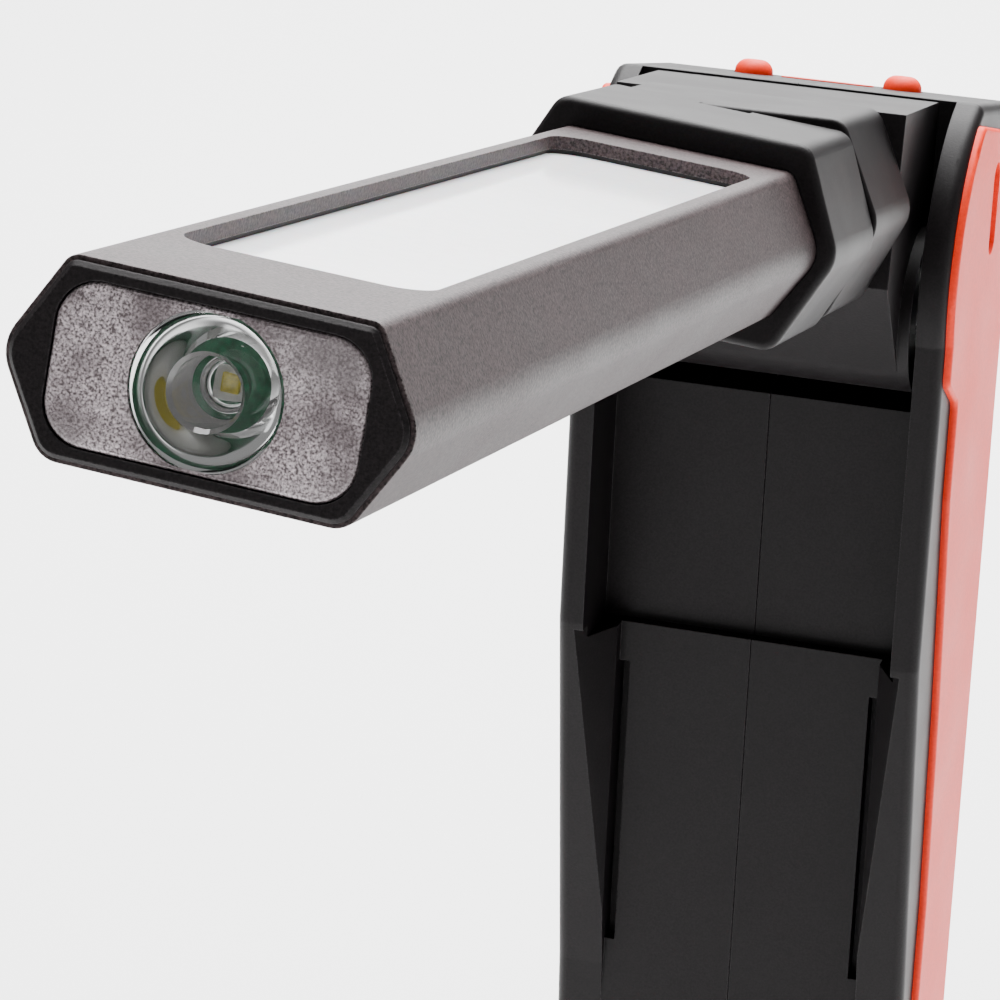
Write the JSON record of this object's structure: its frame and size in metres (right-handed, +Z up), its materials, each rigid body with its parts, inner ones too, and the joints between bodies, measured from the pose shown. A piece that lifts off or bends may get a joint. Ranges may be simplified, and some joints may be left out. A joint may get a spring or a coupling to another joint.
{
  "type": "folding work light",
  "caption": "Cordless hand lamp: a flat hexagonal aluminium head with a side window and an end spot swivels on a hinge that folds it along the grip.",
  "frame": {"origin": "middle of the flat magnetic face under the handle, straight under the lamp head's axis at the handle", "axes": "+Z up the handle, -Y towards the lamp head's front end, +X to the right of someone facing that end"},
  "size_m": [0.0532, 0.2601, 0.3014],
  "materials": {
    "head_aluminium": "bead blasted, anodised warm grey",
    "bezel_black": "fine grained black",
    "clear_lens": "clear moulded lens, frosted round the spot",
    "milky_diffuser": "milky white, glossy",
    "led_yellow": "yellow phosphor",
    "board_green": "green solder mask",
    "board_white": "white solder mask on aluminium",
    "bare_aluminium": "as extruded",
    "nylon_black": "fine spark-eroded grain",
    "grip_orange": "satin soft-touch",
    "soft_black": "matt",
    "foam_grey": "closed-cell foam",
    "steel": "bright zinc plated",
    "magnet_nickel": "nickel plated",
    "screw_black": "black oxide",
    "cell_wrap": "plastic sleeve over steel",
    "switch_grey": "moulded",
    "wire_red": "insulated leads"
  },
  "bodies": {
    "handle": {"main_board": "board_green", "switch_board": "board_green", "left_shell": "nylon_black", "right_shell": "nylon_black", "base_cap": "nylon_black", "left_grip": "grip_orange", "right_grip": "grip_orange", "button_strip": "grip_orange", "cell_pads": "foam_grey", "hinge_pin": "steel", "hinge_nut": "steel", "hinge_washers": "steel", "magnet_cup": "steel", "cell_contacts": "steel", "charge_socket": "steel", "base_magnet": "magnet_nickel", "shell_screws": "screw_black", "battery_cell": "cell_wrap", "tact_switches": "switch_grey", "handle_wires": "wire_red"},
    "hinge": {"hinge_block": "nylon_black", "swivel_stop_pin": "steel", "swivel_washer": "steel"},
    "head": {"head_extrusion": "head_aluminium", "front_bezel": "bezel_black", "lens_block": "clear_lens", "spot_lens": "clear_lens", "spot_board": "board_green", "spot_led": "led_yellow", "spot_heatsink": "bare_aluminium", "window_gasket": "soft_black", "diffuser": "milky_diffuser", "board_carrier": "bare_aluminium", "cob_board": "board_white", "cob_strip": "led_yellow", "head_collar": "nylon_black", "swivel_spindle": "steel", "swivel_retainer": "steel", "collar_screws": "screw_black", "head_wires": "wire_red"},
    "button_left": {"button_left": "grip_orange"},
    "button_right": {"button_right": "grip_orange"},
    "socket_flap": {"socket_flap": "soft_black"},
    "hook": {"hook": "steel"}
  },
  "joints": [
    {"name": "head_fold", "type": "hinge", "parent": "handle", "child": "hinge", "pos_m": [0, -0.0098, 0.236], "axis": [1, 0, 0], "range_deg": [0, 100]},
    {"name": "head_swivel", "type": "hinge", "parent": "hinge", "child": "head", "pos_m": [0, 0, 0.25], "axis": [0, -0.9848, 0.1736], "range_deg": [-140, 185]},
    {"name": "press_left", "type": "slide", "parent": "handle", "child": "button_left", "axis": [0, -0.2233, -0.9748], "range_m": [0, 0.0008], "stiffness_N_per_m": 1500},
    {"name": "press_right", "type": "slide", "parent": "handle", "child": "button_right", "axis": [0, -0.2233, -0.9748], "range_m": [0, 0.0008], "stiffness_N_per_m": 1500},
    {"name": "flap_open", "type": "hinge", "parent": "handle", "child": "socket_flap", "pos_m": [0, 0.02335, 0.115], "axis": [1, 0, 0], "range_deg": [0, 100]},
    {"name": "hook_swing", "type": "hinge", "parent": "handle", "child": "hook", "pos_m": [0, 0.0206, 0.022], "axis": [-1, 0, 0], "range_deg": [0, 180]}
  ]
}
